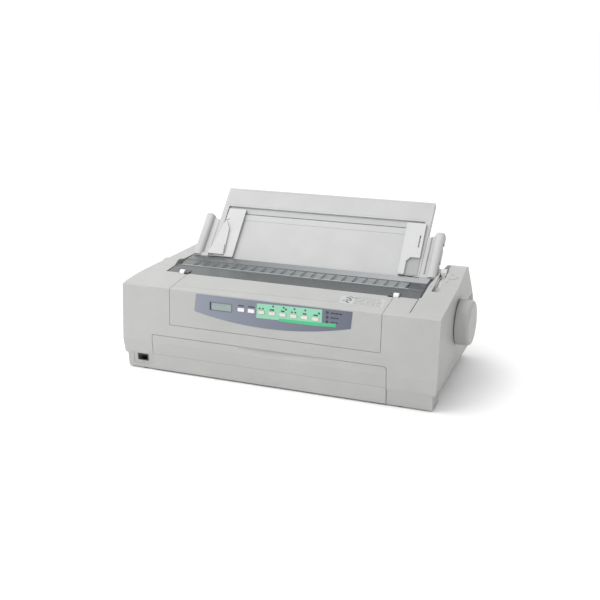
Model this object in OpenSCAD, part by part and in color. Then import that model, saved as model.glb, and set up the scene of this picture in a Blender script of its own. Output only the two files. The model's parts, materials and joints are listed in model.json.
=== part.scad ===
// Wide-carriage dot matrix printer, millimetres, +Z up, front towards -Y.
// Lengths are drawn with x = 0 on the case's centre plane, y = 0 at the crease
// of the front face and z = 0 on the table; place() then moves every piece so
// that the origin is the centre of the whole machine's footprint.

/* [Case] */
// Width of the upper case
case_w = 560; // [558:1:562]
// Wall thickness of the mouldings
wall = 2.5; // [2.2:0.1:2.8]
// Height of the horizontal crease round the case
crease_z = 53.9; // [53.5:0.1:54.3]
// Lean of the front face above the crease, degrees
lean_up = 4.5; // [4.3:0.1:4.7]
// Lean of the front face below the crease, degrees
lean_dn = 4.4; // [4.2:0.1:4.6]
// Rear face of the case
rear_y = 278; // [278:1:282]

/* [Covers] */
// Gap round the loose covers
gap = 0.7; // [0.5:0.1:0.9]
// Left edge of the front cover
cover_l = -221.7; // [-222.2:0.1:-221]
// Right edge of the front cover
cover_r = 198; // [197.5:0.1:198.3]
// Top edge of the front cover
cover_t = 66.7; // [66:0.1:67.2]
// Half width of the smoked cover
smoke_hw = 228.8; // [228:0.1:229.5]

/* [Operator panel] */
// Centre height of the keys up the panel face
key_s = 76.8; // [76:0.1:77.6]
// Distance between neighbouring keys
key_pitch = 18.96; // [18.7:0.01:19.2]
// Stroke of a key
key_stroke = 0.8; // [0.5:0.1:0.9]

/* [Sheet guide] */
// Lean of the sheet guide from vertical, degrees
guide_lean = 43.3; // [42:0.1:44]
// Length of the sheet guide up its slope
guide_len = 150; // [145:1:155]
// Half width of the sheet guide
guide_hw = 200.5; // [199:0.5:201]

/* [Platen] */
// Radius of the platen roller
platen_r = 18; // [17:0.5:18]
// Radius of the platen shaft
shaft_r = 6; // [5.5:0.1:6]
// Radius of the platen knob
knob_r = 38; // [36:0.5:39]
// Distance that the knob stands out of the case
knob_out = 25; // [22:0.5:27]

/* [Gears] */
// Module of the feed gears
gear_m = 1.5; // [1.5]
// Teeth of the platen gear
z_platen = 40; // [40]
// Teeth of the idler gears and of the tractor gear
z_idler = 24; // [24]
// Teeth of the motor pinion
z_pinion = 12; // [12]

/* [Hidden] */
hw = case_w / 2;
py = 140; pz = 109;             // platen axis
gy = 179; gz = 166.5;           // foot of the sheet guide's face
ta = tan(lean_up); tb = tan(lean_dn);
function fy(z) = z >= crease_z ? (z - crease_z) * ta : (crease_z - z) * tb;
yt = (151 - crease_z) * ta;     // front edge of the top
C = 0.1;                        // extra centre distance of the gears
th_i = 225; th_p = 219; th_t = 13;
d1 = gear_m * (z_platen + z_idler) / 2 + C;
d2 = gear_m * (z_idler + z_pinion) / 2 + C;
d3 = gear_m * (z_idler + z_idler) / 2 + C;
iy = py + d1 * cos(th_i); iz = pz + d1 * sin(th_i);   // feed idler axis
my = iy + d2 * cos(th_p); mz = iz + d2 * sin(th_p);   // feed motor axis
jy = py + d1 * cos(th_t); jz = pz + d1 * sin(th_t);   // tractor idler axis
ty = jy + d3 * cos(th_t); tz = jz + d3 * sin(th_t);   // tractor shaft axis
function mesh_ph(th, ph, za, zb) = th + 180 - (0.5 - (th - ph) * za / 360) * 360 / zb;
ph_i = mesh_ph(th_i, 0, z_platen, z_idler);
ph_p = mesh_ph(th_p, ph_i, z_idler, z_pinion);
ph_j = mesh_ph(th_t, 0, z_platen, z_idler);
ph_t = mesh_ph(th_t, ph_j, z_idler, z_idler);
car_x = -60;                    // carriage centre at rest
motor_x = 206;                  // carriage motor's axis
off_x = -knob_out / 2;
off_y = -(gy + guide_len * sin(guide_lean) + 12 * cos(guide_lean)) / 2;
body = [0.83, 0.82, 0.79];
bodylo = [0.80, 0.79, 0.76];
smoke = [0.36, 0.39, 0.38];
$fn = 48;

// ---------- helpers ----------
module place() { translate([off_x, off_y, 0]) children(); }
// box from corner to corner
module bx(x0, x1, y0, y1, z0, z1) { translate([x0, y0, z0]) cube([x1 - x0, y1 - y0, z1 - z0]); }
// outline in (y, z) drawn out along x
module ex(x0, x1, p) { translate([x0, 0, 0]) rotate([90, 0, 90]) linear_extrude(x1 - x0) polygon(p); }
// outline in (x, z) drawn out along y
module ey(y0, y1, p) { translate([0, y1, 0]) rotate([90, 0, 0]) linear_extrude(y1 - y0) polygon(p); }
// round bars along x, y and z
module cx(x0, x1, y, z, r) { translate([x0, y, z]) rotate([0, 90, 0]) cylinder(h = x1 - x0, r = r); }
module cy(y0, y1, x, z, r) { translate([x, y1, z]) rotate([90, 0, 0]) cylinder(h = y1 - y0, r = r); }
module cz(z0, z1, x, y, r) { translate([x, y, z0]) cylinder(h = z1 - z0, r = r); }
// frame of the panel face: x, distance up the face, distance out of it
module on_panel() { translate([0, 0, crease_z]) rotate([90 - lean_up, 0, 0]) children(); }
// frame of the sheet guide: x, distance up the slope, distance out of its front
module on_guide() { translate([0, gy, gz]) rotate([90 - guide_lean, 0, 0]) children(); }
// involute gear outline, tooth 0 centred on angle 0
function inv(rb, r) = r <= rb ? 0 : let(a = acos(rb / r)) tan(a) * 180 / PI - a;
function gear_pts(z, m) = let(rp = m * z / 2, rb = rp * cos(20), ra = rp + 0.8 * m, rf = rp - 1.25 * m,
    hp = 90 / z - 0.1 / rp * 180 / PI, h0 = hp + tan(20) * 180 / PI - 20,
    rs = [rf, max(rf + 0.05, rb), (max(rf + 0.05, rb) + rp) / 2, rp, (rp + ra) / 2, ra])
    [for (i = [0:z - 1]) each concat(
        [for (r = rs) let(a = i * 360 / z - (h0 - inv(rb, r))) [r * cos(a), r * sin(a)]],
        [for (k = [5:-1:0]) let(r = rs[k], a = i * 360 / z + (h0 - inv(rb, r))) [r * cos(a), r * sin(a)]])];
module gear(x0, x1, y, z, teeth, ph, bore) {
  translate([x0, y, z]) rotate([90, 0, 90]) rotate([0, 0, ph])
    difference() {
      linear_extrude(x1 - x0) polygon(gear_pts(teeth, gear_m));
      translate([0, 0, -1]) cylinder(h = x1 - x0 + 2, r = bore);
    }
}

// ---------- outlines of the case ----------
// left and middle side view
pl = [[fy(30), 30], [0, crease_z], [yt, 151], [20, 153.48], [75.3, 160.57], [108, 163.2],
  [119, 169.6], [129, 170], [143, 166.5], [262, 166.5], [273, 161], [rear_y, 150], [rear_y, 30]];
pli = [[fy(30) + wall, 20], [wall, crease_z], [7.9 + wall, 148.5], [13, 149.7], [30, 152.3], [75.3, 158], [108, 160.6],
  [119.5, 166.9], [128.7, 167.4], [142.7, 163.9], [261, 163.9], [271, 159], [rear_y - wall, 149], [rear_y - wall, 20]];
// right side view, with the tall housing over the knob
pr = [[fy(30), 30], [0, crease_z], [yt, 151], [10, 153.4], [85.6, 164.3], [131.4, 170.6], [184, 186.8],
  [188, 187.6], [201, 187.6], [206, 185.4], [241.5, 145.1], [261.7, 120.3], [272, 104], [rear_y, 88], [rear_y, 30]];
pri = [[fy(30) + wall, 20], [wall, crease_z], [7.9 + wall, 148.5], [12, 151], [85.6, 161.7], [131.4, 168], [184.5, 184.3],
  [188, 185.1], [200, 185.1], [204.5, 183], [239.5, 143.6], [259.7, 118.8], [269.5, 103], [rear_y - wall, 87], [rear_y - wall, 20]];
sl = tb;                        // side walls lean in below the crease
xl = hw - (crease_z - 30) * sl;
module shell_outer() {
  intersection() {
    ex(-hw, 236, pl);
    ey(-5, 300, [[-xl, 30], [-hw, crease_z], [-hw, 154], [-hw + 2, 157.6], [-hw + 6, 160.4], [-hw + 14, 164.4],
      [-hw + 18.7, 166.5], [-hw + 20, 170.4], [-hw + 34, 172], [240, 172], [240, 30]]);
  }
  intersection() {
    ex(227.5, hw, pr);
    ey(-5, 300, [[227, 30], [227, 165.2], [231, 170], [245.5, 187.6], [252, 195], [hw, 195], [hw, crease_z], [xl, 30]]);
  }
}
module shell_inner() {
  // main space below the top
  ex(-hw + 2 * wall, 231.2, [[fy(30) + wall, 20], [wall, crease_z], [6.45 + wall, 136], [rear_y - wall, 136], [rear_y - wall, 20]]);
  intersection() {
    ex(230.6, hw - 2 * wall, [[fy(30) + wall, 19], [wall, crease_z], [6.45 + wall, 136], [rear_y - wall, 136], [rear_y - wall, 19]]);
    ex(230, hw, pri);
  }
  // left shoulder
  intersection() {
    ex(-hw + wall, -234, pli);
    ey(-5, 300, [[-xl + wall, 20], [-xl + wall, 30], [-hw + wall, crease_z], [-hw + wall, 153], [-hw + 4.2, 155.8], [-hw + 7.4, 158],
      [-hw + 15, 161.8], [-hw + 23, 165.4], [-hw + 34, 169], [-230, 169], [-230, 20]]);
  }
  // right shoulder
  intersection() {
    ex(234, hw - wall, pri);
    ey(-5, 300, [[230, 20], [230, 165.9], [234.2, 169], [247, 184.4], [253, 192], [hw - wall, 192], [hw - wall, crease_z], [xl - wall, 30], [xl - wall, 20]]);
  }
  // under the front strip
  ex(-235, 235, [[6.5 + wall, 120], [7.9 + wall, 148.5], [13, 149.6], [30, 151.9], [80, 158], [80, 120]]);
}

// the left knuckle sits further out than the right one
module knuckle(s) { translate([s < 0 ? -9 : 0, 0, 0]) children(); }

module upper_case() {
  color(body) {
    difference() {
      shell_outer();
      shell_inner();
      // well between the shoulders, and the lower middle of the rear wall
      bx(-231.5, 231.5, 74.6 + gap, rear_y - wall, 90, 200);
      bx(-231.5, 231.5, 74.6 + gap, rear_y + 5, 154.5, 200);
      // place of the operator hood
      bx(-188.2, 187.2, -5, 80, 88.2, 200);
      // opening of the front cover
      difference() {
        bx(cover_l - gap, cover_r + gap, -5, 12, 20, cover_t + gap);
        intersection() {
          bx(cover_r + gap - 6, cover_r + gap + 1, -6, 13, cover_t + gap - 6, cover_t + gap + 1);
          difference() {
            bx(cover_r - 10, cover_r + 10, -6, 13, cover_t - 10, cover_t + 10);
            cy(-7, 14, cover_r + gap - 6, cover_t + gap - 6, 6);
          }
        }
      }
      // part line between the strip and the right shoulder
      ex(226.6, 227.6, [[20, 151.5], [20, 170], [76, 170], [76, 158.9]]);
      // small round mark on the left shoulder
      cz(151, 170, -238.3, 13, 0.9);
      // room for the hinge knuckles
      for (s = [-1, 1]) knuckle(s) bx(min(s * 176.5, s * 196), max(s * 176.5, s * 196), 71.2, 80, 150, 170);
      // slot of the paper release lever
      bx(240.5, 252.5, 104, 196, 150, 200);
      // knob shaft
      cx(hw - 10, hw + 5, py, pz, 8);
      // level vents behind the knob, and the same at the left
      for (e = [-1, 1]) for (k = [0:4])
        bx(e * (hw - 1) - 5, e * (hw - 1) + 5, 204, 253 + 4 * min(k, 3), 121.7 - 7 * k, 124.3 - 7 * k);
      // holes for the guide's pivots
      cx(-236, -229, 184.7, 163.8, 3.06);
      cx(229, 236, 184.7, 163.8, 3.06);
      // rear wall: fan-fold entry, mains inlet, data socket
      bx(-206, 206, 270, 285, 116, 134);
      bx(-216.2, -186.8, 270, 285, 33.8, 56.2);
      bx(58, 118, 270, 285, 31.4, 47.2);
    }
    // ledge behind the foot of the hood
    bx(-187, 186, fy(80) + wall - 0.2, 9.6, 83, 88.2);
    ex(-187, 186, [[fy(88) + wall, 85], [fy(96) + wall, 96], [9.6, 96], [9.6, 85]]);
    // ledges along the sides of the hood's top
    bx(-192, -184, 12, 59, 146, 149); bx(183, 191, 12, 59, 146, 149);
    bx(-192, -189, 12, 59, 149, 152.2); bx(188, 191, 12, 59, 149, 152.2);
    // pocket round the release lever: side walls, ends and an arched floor with a slit
    intersection() {
      difference() {
        ex(238.7, 254.3, [[102, 165.6], [131.4, 169.4], [184, 185.6], [188, 186.4], [198, 186.4], [198, 150.4], [150, 148], [102, 148]]);
        difference() {
          bx(240.5, 252.5, 104, 196, 150, 200);
          cx(239, 254, 158, 124, 51);
        }
        cx(238, 255, 158, 124, 49);
        bx(243, 250, 129, 174, 120, 200);
      }
      ey(-5, 300, [[231, 30], [231, 169], [245.5, 186.4], [252, 193.8], [270, 193.8], [270, 30]]);
    }
    // screw posts, tied to the side walls
    for (x = [-1, 1]) for (y = [34, 262]) difference() {
      union() { cz(30, 62, x * 252, y, 6); bx(min(x * 252, x * 278), max(x * 252, x * 278), y - 1.2, y + 1.2, 34, 62); }
      cz(29, 56, x * 252, y, 2.05);
    }
  }
}

module lower_case() {
  color(bodylo) {
    difference() {
      union() {
        ex(-273.5, 273.5, [[fy(2.5) + 1, 2.5], [fy(30) + 1, 30], [45, 30], [45, 2.5]]);
        bx(-263.5, 263.5, 45, 274, 2.5, 30);
        bx(-277.5, 277.5, fy(30) + 1.3, 277, 27.5, 30);
      }
      // inside
      ex(-271, 271, [[fy(2.5) + 1 + wall, 5], [fy(30) + 1 + wall, 31], [42.5, 31], [42.5, 5]]);
      bx(-261, 261, 40, 271.5, 5, 31);
      // place of the front cover
      bx(cover_l - gap, cover_r + gap, -5, 16, 0, 40);
      // shallow field of the power switch
      ex(-262.5, -227.5, [[-2, 9.8], [-2, 28.9], [fy(28.9) + 1.7, 28.9], [fy(9.8) + 1.7, 9.8]]);
      bx(-253.4, -234.4, 0, 12, 16.7, 27.2);
      // rear openings
      bx(-216.2, -186.8, 260, 285, 26, 40);
      // feet plugs and screws
      for (p = foot_at) cz(0, 10, p[0], p[1], 3.02);
      for (x = [-1, 1]) for (y = [34, 262]) cz(0, 9, x * 252, y, 4.2);
    }
    // wall behind the front cover, with its cheeks
    difference() {
      union() {
        bx(cover_l - gap - 1.5, cover_r + gap + 1.5, 15.6, 18.1, 3, 14);
        bx(cover_l - gap - 2.9, cover_l - gap - 0.4, fy(2.5) + 2.2, 20.5, 3.2, 29.3);
        bx(cover_r + gap + 0.4, cover_r + gap + 2.9, fy(2.5) + 2.2, 20.5, 3.2, 29.3);
      }
      cx(cover_l - 5, cover_r + 5, 9.8, 9, 2.06);
    }
    // posts for the case screws
    for (x = [-1, 1]) for (y = [34, 262]) difference() {
      cz(5, 30, x * 252, y, 6);
      cz(2, 33, x * 252, y, 2.05);
      cz(2, 9, x * 252, y, 4.2);
    }
    // ribs that carry the chassis
    for (y = [44, 104, 184, 252]) bx(-226, 226, y, y + 3, 5, 8);
  }
}
foot_at = [[-242, 15], [220.7, 15], [-236, 256], [236, 256]];

module feet() { color([0.15, 0.15, 0.15]) for (p = foot_at) { cz(0, 2.5, p[0], p[1], 8); cz(2.5, 6, p[0], p[1], 3); } }

module case_screws() {
  color([0.6, 0.6, 0.62]) for (x = [-1, 1]) for (y = [34, 262])
    difference() { union() { cz(6, 9, x * 252, y, 4); cz(9, 50, x * 252, y, 2); }
      bx(x * 252 - 3, x * 252 + 3, y - 0.5, y + 0.5, 5, 7.2); }
}

// ---------- operator panel ----------
key_x = [for (i = [0:5]) -17.5 + key_pitch * i];
menu_x = [-54, -35.6];
module panel_cuts(n0, n1, g) {
  for (x = key_x) translate([x - 5.6 - g, key_s - 2.9 - g, n0]) cube([11.2 + 2 * g, 5.8 + 2 * g, n1 - n0]);
  for (x = menu_x) translate([x - 5.9 - g, key_s - 3.1 - g, n0]) cube([11.8 + 2 * g, 6.2 + 2 * g, n1 - n0]);
  translate([-111.2 - g, 70.4 - g, n0]) cube([40.4 + 2 * g, 13.4 + 2 * g, n1 - n0]);
  for (i = [0:3]) translate([3.3 + 18.7 * i, 88.9, n0]) cylinder(h = n1 - n0, r = 1.3 + g);
  for (i = [0:2]) translate([96.6, 74.3 + 7.6 * i, n0]) cylinder(h = n1 - n0, r = 2.1 + g);
}
module operator_hood() {
  color(body) difference() {
    ex(-187.5, 186.5, [[fy(88.9), 88.9], [yt, 151], [20, 153.5], [74.6, 160.5], [74.6, 158], [20.3, 151], [9.95, 148.75], [fy(88.9) + wall, 88.9]]);
    on_panel() panel_cuts(-4, 2, 0.35);
    // clearance round the cover's hinge knuckles
    for (s = [-1, 1]) knuckle(s) bx(min(s * 176.5, s * 196), max(s * 176.5, s * 196), 71.4, 80, 150, 170);
  }
}
module overlay_2d() {
  intersection() {
    polygon([[-140.2, 66.2], [-137.2, 95], [138.8, 95.6], [136.8, 66.6], [136.8, 40], [-140.2, 40]]);
    translate([-8, 50.2 + 608]) circle(r = 608, $fn = 240);
  }
}
module panel_overlay() {
  color([0.62, 0.64, 0.74]) on_panel() difference() {
    linear_extrude(0.4) overlay_2d();
    panel_cuts(-1, 2, 0.35);
  }
}
module lcd_window() {
  color([0.6, 0.68, 0.56]) on_panel() {
    translate([-111.2, 70.4, -2.6]) cube([40.4, 13.4, 2.6]);
    translate([-113.5, 68.4, -6]) cube([45, 17.4, 3.4]);
  }
}
module push_key(x, w, h) {
  on_panel() {
    translate([x - w / 2, key_s - h / 2, -2.7]) cube([w, h, 4.1]);
    translate([x - w / 2 - 1.2, key_s - h / 2 - 1.4, -4.4]) cube([w + 2.4, h + 2.8, 1.7]);
  }
}
module menu_button_left() { color([0.95, 0.95, 0.93]) push_key(menu_x[0], 11.8, 6.2); }
module menu_button_right() { color([0.95, 0.95, 0.93]) push_key(menu_x[1], 11.8, 6.2); }
module panel_key(i) { color([0.80, 0.94, 0.86]) push_key(key_x[i], 11.2, 5.8); }
module panel_key_1() { panel_key(0); }
module panel_key_2() { panel_key(1); }
module panel_key_3() { panel_key(2); }
module panel_key_4() { panel_key(3); }
module panel_key_5() { panel_key(4); }
module panel_key_6() { panel_key(5); }
module panel_lamps() {
  color([0.1, 0.1, 0.1]) on_panel() {
    for (i = [0:3]) translate([3.3 + 18.7 * i, 88.9, -10.4]) cylinder(h = 11, r = 1.3);
    for (i = [0:2]) translate([96.6, 74.3 + 7.6 * i, -10.4]) cylinder(h = 11.2, r = 2.1);
  }
}
module panel_board() {
  color([0.1, 0.4, 0.25]) on_panel() {
    translate([-134, 58, -12]) cube([242, 36, 1.6]);
    for (x = concat(key_x, menu_x)) {
      translate([x - 3, key_s - 3, -10.4]) cube([6, 6, 3.2]);
      translate([x, key_s, -7.2]) cylinder(h = 1.6, r = 1.6);
    }
    translate([-112, 69, -10.4]) cube([42, 16, 4.4]);
    // pillars to the hood
    for (x = [-128, 102]) translate([x, 62, -10.4]) cylinder(h = 7.9, r = 3);
    for (x = [-128, 102]) translate([x, 90, -10.4]) cylinder(h = 7.9, r = 2);
  }
}

// ---------- covers ----------
module front_cover() {
  color(body) {
    difference() {
      union() {
        ex(cover_l, cover_r, [[fy(3), 3], [0, crease_z], [fy(cover_t), cover_t], [fy(cover_t) + wall, cover_t],
          [wall, crease_z], [fy(3) + wall, 3]]);
        // thicker behind the finger scoop
        ex(-66, 125.5, [[1.3, 49], [3.6, 49.4], [7.3, 57], [7.3, cover_t - 0.2], [1.9, cover_t - 0.2], [1.3, 60]]);
      }
      // finger scoop below the top edge, deepest left of the middle
      translate([0, fy(66.7), 66.7]) rotate([-20, 0, 0]) translate([0, 0, -22]) linear_extrude(30)
        polygon(concat([for (i = [0:40]) [-61 + 186 * i / 40, -0.01 + 3.4 * pow(max(0, sin(180 * pow(i / 40, 0.55))), 0.8)]],
          [[126, -12], [-62, -12]]));
      // rounded upper corner
      intersection() {
        bx(cover_r - 6, cover_r + 1, -6, 13, cover_t - 6, cover_t + 1);
        difference() {
          bx(cover_r - 10, cover_r + 10, -6, 13, cover_t - 10, cover_t + 10);
          cy(-7, 14, cover_r - 6, cover_t - 6, 6);
        }
      }
    }
    // side flanges and hinge pins
    for (s = [0, 1]) {
      x = s == 0 ? cover_l : cover_r - 2;
      ex(x, x + 2, [[fy(12) + wall - 0.2, 5], [wall - 0.2, crease_z], [wall - 0.2, 56], [9, 50], [12.6, 20], [12.6, 6]]);
      cx(s == 0 ? cover_l - gap - wall + 0.3 : cover_r - 5, s == 0 ? cover_l + 5 : cover_r + gap + wall - 0.3, 9.8, 9, 2);
      ex(s == 0 ? cover_l + 0.5 : cover_r - 5, s == 0 ? cover_l + 5 : cover_r - 0.5,
        [[fy(5) + wall - 0.3, 5.4], [12.6, 6], [12.6, 12.2], [fy(12) + wall - 0.3, 12.2]]);
    }
    // stiffening ribs
    for (x = [-150, -95, 120]) ex(x, x + 1.6, [[fy(12) + wall - 0.2, 10], [wall - 0.2, crease_z], [6, 50], [8, 14], [8, 10]]);
  }
}

rib_x = [for (i = [0:21]) -197 + 18.7 * i];
module smoked_cover() {
  color(smoke) {
    difference() {
      union() {
        ex(-smoke_hw, smoke_hw, [[75.9, 160.44], [110.5, 163.8], [112, 165.1], [113.6, 165.1], [114.6, 163], [146, 164.6],
          [149, 165.4], [175, 166.5], [175, 162.5], [173, 162.5], [173, 164.2], [149, 163.1], [146, 162.3], [114.6, 160.7],
          [110.5, 161.5], [75.9, 158.14]]);
        // fins in the valley behind the ridge
        for (x = rib_x) ex(x - 0.6, x + 0.6, [[113.4, 162.8], [113.4, 165], [117, 165.1], [147, 165.2], [148.5, 164.6], [146, 164], [114.6, 162.4]]);
        // skirts
        for (s = [-1, 1]) ex(s < 0 ? -smoke_hw : smoke_hw - 2, s < 0 ? -smoke_hw + 2 : smoke_hw,
          [[96, 160.6], [112, 162], [146, 163], [175, 165], [175, 157], [110, 153], [100, 155]]);
      }
      // notches for the hinge knuckles
      for (s = [-1, 1]) knuckle(s) bx(min(s * 176.8, s * 195.6), max(s * 176.8, s * 195.6), 70, 88.5, 150, 170);
    }
    // hinge ears with their pins
    for (s = [-1, 1]) knuckle(s) {
      ex(s < 0 ? -184.6 : 177.6, s < 0 ? -177.6 : 184.6, [[78, 156.8], [90, 157.3], [90, 161.4], [78, 163.2]]);
      cx(s < 0 ? -184.6 : 177.6, s < 0 ? -177.6 : 184.6, 78, 160, 3.2);
      cx(s < 0 ? -190.6 : 184, s < 0 ? -184 : 190.6, 78, 160, 2);
    }
  }
}
module hinge_brackets() {
  color([0.95, 0.95, 0.93]) for (s = [-1, 1]) knuckle(s) difference() {
    union() {
      cx(s < 0 ? -194.6 : 185.6, s < 0 ? -185.6 : 194.6, 78, 160, 6);
      bx(s < 0 ? -194.6 : 185.6, s < 0 ? -185.6 : 194.6, 75.6, 81, 146, 158);
      bx(min(s * 188.6, s * 194.6), max(s * 188.6, s * 194.6), 60, 75.6, 146, 152);
      ex(min(s * 191.4, s * 194.6), max(s * 191.4, s * 194.6), [[60, 151.9], [60, 155.48], [71, 156.82], [71, 151.9]]);
    }
    cx(s < 0 ? -191 : 185, s < 0 ? -185 : 191, 78, 160, 2.06);
  }
}
module rear_deck() {
  color(body) difference() {
    union() {
      bx(-231, 231, 196, rear_y - 0.5, 154.5, 157);
      bx(-231, 231, 196, 198.5, 132, 157);
      // ribs below
      for (x = [-150, -50, 50, 150]) bx(x - 1, x + 1, 198, rear_y - wall - 0.3, 148, 155);
    }
    for (i = [0:17]) bx(-196 + 22.4 * i, -184 + 22.4 * i, 236, 268, 150, 160);
  }
}

// ---------- sheet guide ----------
module sheet_guide() {
  color([0.88, 0.88, 0.86]) on_guide() {
    // ribbed upper band
    difference() {
      translate([-guide_hw, 110, -4]) cube([2 * guide_hw, guide_len - 110, 4]);
      for (i = [0:56]) translate([-192 + 6.86 * i - 1.2, 113, -0.6]) cube([2.4, guide_len - 116, 2]);
    }
    translate([-guide_hw, guide_len - 2.5, -12]) cube([2 * guide_hw, 2.5, 9]);
    // side rails
    for (s = [-1, 1]) {
      translate([s < 0 ? -guide_hw : 190.4, 0, -4]) cube([guide_hw - 190.4, 111, 4]);
      translate([s < 0 ? -guide_hw : guide_hw - 2.5, 0, -12]) cube([2.5, guide_len - 1, 9]);
      translate([s < 0 ? -192.4 : 190.4, 0, -13]) cube([2, 112, 10]);
    }
    // cross bar at the back of the plate
    translate([-192, 104, -14.2]) cube([384, 8, 3]);
    translate([-192, 0, -14.2]) cube([384, 6, 3]);
    translate([-192, 110, -13]) cube([384, 2, 10]);
  }
}
module guide_plate() {
  color([0.86, 0.86, 0.85]) on_guide() {
      translate([-190.2, 0.2, -5.2]) cube([380.4, 95.4, 2.2]);
      translate([-190.2, 83, -3.1]) cube([380.4, 12.6, 0.6]);
      translate([-190.2, 93.4, -11.2]) cube([380.4, 2.2, 7]);
      translate([-190.2, 93.4, -11.2]) cube([380.4, 16.4, 1.8]);
      // stiffening ribs behind
      for (i = [0:8]) translate([-161 + 40 * i, 4, -11.2]) cube([2, 90, 7]);
      translate([-190.2, 0.2, -11.2]) cube([380.4, 2, 7]);
  }
}
// solid of an (x, up) outline between two distances out of the guide
module slab(p, n0, n1) { translate([0, 0, n0]) linear_extrude(n1 - n0) polygon(p); }
module edge_guide_left() {
  color([0.91, 0.91, 0.90]) on_guide() difference() {
    union() {
      slab([[-189.9, 2], [-150.8, 2], [-152.4, 103.4], [-187, 103.4], [-187.6, 50], [-189.9, 36]], -2, 2.6);
      slab([[-200.6, 3], [-168, 3], [-173, 58], [-180, 70], [-186, 74], [-188, 60], [-191.5, 42]], 1.3, 6);
    }
    // thumb slot and the groove of the foot
    slab([[-186.4, 76], [-180, 79.5], [-180, 81.2], [-186.4, 78]], 1, 7);
    slab([[-168.9, 2], [-167.6, 2], [-171, 24], [-172.2, 24]], 4, 7);
  }
}
module edge_guide_right() {
  color([0.91, 0.91, 0.90]) on_guide() difference() {
    union() {
      slab([[163.6, 2], [189.9, 2], [189.9, 103.2], [160, 103.2]], -2, 2.6);
      slab([[163.5, 1.9], [196.8, 1.9], [194.4, 103.3], [159.9, 103.3]], 0.7, 5);
    }
    // dark pocket with a chamfered corner, and the thumb slot
    slab([[174.5, -1], [173.5, 27], [180, 35], [199, 35], [199, -1]], 1.4, 7);
    slab([[188.4, 55], [191.1, 55], [190.3, 79], [187.6, 79]], 1.6, 7);
  }
}
// cross-section (x outwards, distance out of the guide) of an arm, right-hand side
arm_sec = [[201, -9], [201, 0], [207.4, 0], [208.8, -3], [213, -3], [214.6, 1], [217, 3.2], [220.5, 4.2], [225, 4.2],
  [228.6, 3], [230.4, 0.8], [231, -2], [231, -9], [228.6, -9], [228.6, -2], [227.6, 0.6], [224.6, 1.8], [220.6, 1.8], [217.6, 0.6],
  [215.6, -2.4], [214.6, -5.4], [207, -5.4], [205, -2.4], [203.4, -2.4], [203.4, -9]];
module guide_arm(s) {
  a = s < 0 ? -231 : 201; b = s < 0 ? -201 : 231;
  color([0.87, 0.87, 0.85]) {
    difference() {
      on_guide() intersection() {
        translate([0, 88.9, 0]) rotate([90, 0, 0]) linear_extrude(88.5)
          polygon([for (p = arm_sec) [s * p[0], p[1]]]);
        translate([0, 0, -10]) linear_extrude(15)
          polygon([for (p = [[200, -1], [200, 79], [205, 79.6], [209, 82], [212.5, 86], [216, 88.3], [220, 89.2], [226, 89.2],
            [229, 88.4], [230.6, 86.4], [231.2, 83], [231.2, -1]]) [s * p[0], p[1]]]);
      }
      // clears the smoked cover's rear edge and the paper slot below
      bx(-240, 240, 150, 176, 140, 200);
      // steps of the outer edge
      on_guide() {
        translate([s < 0 ? -231.2 : 229.6, 60, -10]) cube([1.6, 9, 15]);
        translate([s < 0 ? -231.2 : 230, 26, -10]) cube([1.2, 6, 15]);
      }
    }
    // pivot boss and pin, and the top cap
    cx(a, b, 184.7, 163.8, 7);
    cx(s < 0 ? -233.8 : 230, s < 0 ? -230 : 233.8, 184.7, 163.8, 3);
    on_guide() intersection() {
      translate([s < 0 ? -229 : 203, 77, -9]) cube([26, 2, 9.6]);
      translate([0, 88.9, 0]) rotate([90, 0, 0]) linear_extrude(88.5)
        polygon([for (p = [[201, -9], [201, -0.2], [207.3, -0.2], [208.8, -3.2], [213, -3.2], [214.8, 0.6], [229, 0.6], [229, -9]]) [s * p[0], p[1]]]);
    }
  }
}
module guide_arm_left() { guide_arm(-1); }
module guide_arm_right() { guide_arm(1); }

// ---------- platen and feed gears ----------
module platen_knob() {
  color(bodylo) translate([hw + 1, py, pz]) rotate([0, 90, 0]) {
    difference() {
      union() {
        rotate_extrude($fn = 96) polygon([[0, 12], [knob_r - 4, 12], [knob_r - 4, 0], [knob_r - 0.8, 0], [knob_r, 1], [knob_r, knob_out - 7],
          [knob_r - 0.8, knob_out - 4], [knob_r - 2.6, knob_out - 1.8], [knob_r - 5.4, knob_out - 1], [0, knob_out - 1]]);
        cylinder(h = 13, r = 11);
      }
      translate([0, 0, -1]) cylinder(h = 16, r = shaft_r);
    }
  }
}
module platen_shaft() { color([0.7, 0.7, 0.72]) cx(-248, hw + 16, py, pz, shaft_r); }
module platen_roller() {
  color([0.13, 0.13, 0.14]) difference() { cx(-208, 208, py, pz, platen_r); cx(-210, 210, py, pz, shaft_r); }
}
module platen_bushes() {
  color([0.85, 0.82, 0.7]) for (s = [-1, 1]) difference() {
    union() { cx(s < 0 ? -238 : 236, s < 0 ? -236 : 238, py, pz, 9); cx(s < 0 ? -236 : 232, s < 0 ? -232 : 236, py, pz, 12); }
    cx(-240, 240, py, pz, shaft_r + 0.06);
  }
}
module platen_gear() { color([0.93, 0.93, 0.9]) { gear(-247, -240, py, pz, z_platen, 0, shaft_r); } }
module feed_idler() {
  color([0.93, 0.93, 0.9]) gear(-247, -240, iy, iz, z_idler, ph_i, 3.06);
}
module motor_pinion() {
  color([0.85, 0.75, 0.45]) { gear(-247, -240, my, mz, z_pinion, ph_p, 1); cx(-247, -222, my, mz, 2.5); }
}
module feed_motor() {
  color([0.35, 0.35, 0.37]) difference() {
    union() { cx(-236, -202, my, mz, 20); cx(-238, -236, my, mz, 10); bx(-236, -234, my - 24, my + 24, mz - 21, mz + 21); }
    cx(-240, -220, my, mz, 2.56);
  }
}

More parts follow.
